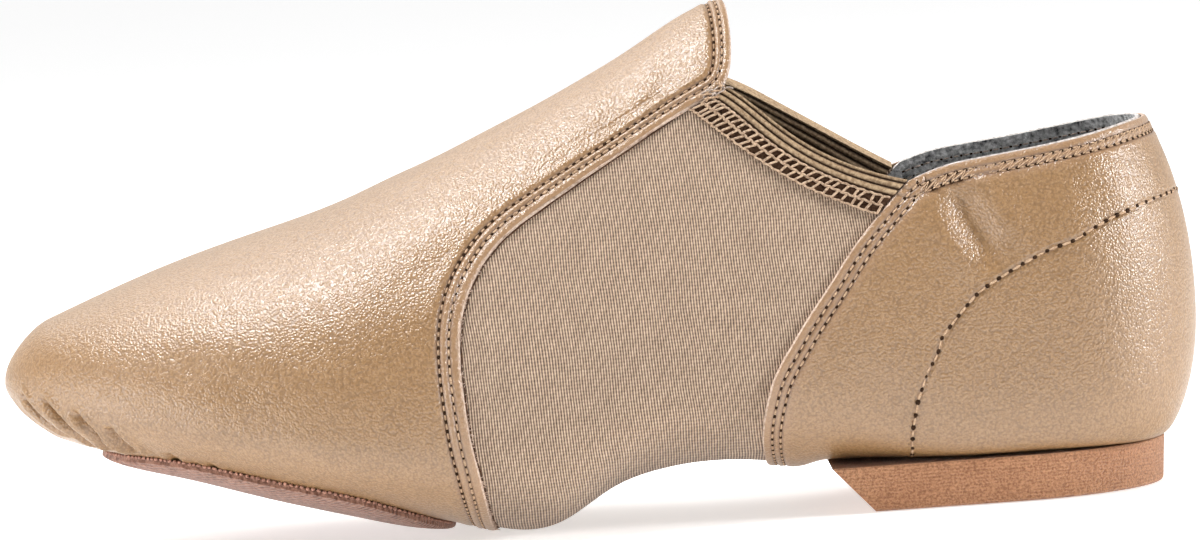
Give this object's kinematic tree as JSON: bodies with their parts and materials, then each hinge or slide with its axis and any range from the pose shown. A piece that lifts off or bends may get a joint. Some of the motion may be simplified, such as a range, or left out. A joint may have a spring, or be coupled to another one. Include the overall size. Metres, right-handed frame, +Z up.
{
  "type": "jazz shoe",
  "caption": "Slip-on split-sole jazz shoe in tan leather, with knit stretch inserts at the sides, a suede forefoot patch and a low heel block.",
  "frame": {"origin": "on the floor, under the middle of the shoe's length and width", "axes": "+X towards the heel, -X towards the toe, -Y towards the outer side of the foot, +Z up"},
  "size_m": [0.25, 0.0882, 0.1069],
  "materials": {
    "tan_leather": "fine pebble grain with a satin gloss",
    "stretch_knit": "fine ribbed stretch knit, matte",
    "pink_suede": "pinkish brown suede, matte",
    "heel_suede": "orange tan suede with fine level layer lines",
    "grey_felt": "soft grey felt, matte"
  },
  "bodies": {
    "root": {"upper": "tan_leather", "forefoot_sole": "pink_suede", "heel": "heel_suede", "insole": "grey_felt", "elastic_outer": "stretch_knit", "elastic_inner": "stretch_knit"}
  },
  "joints": []
}
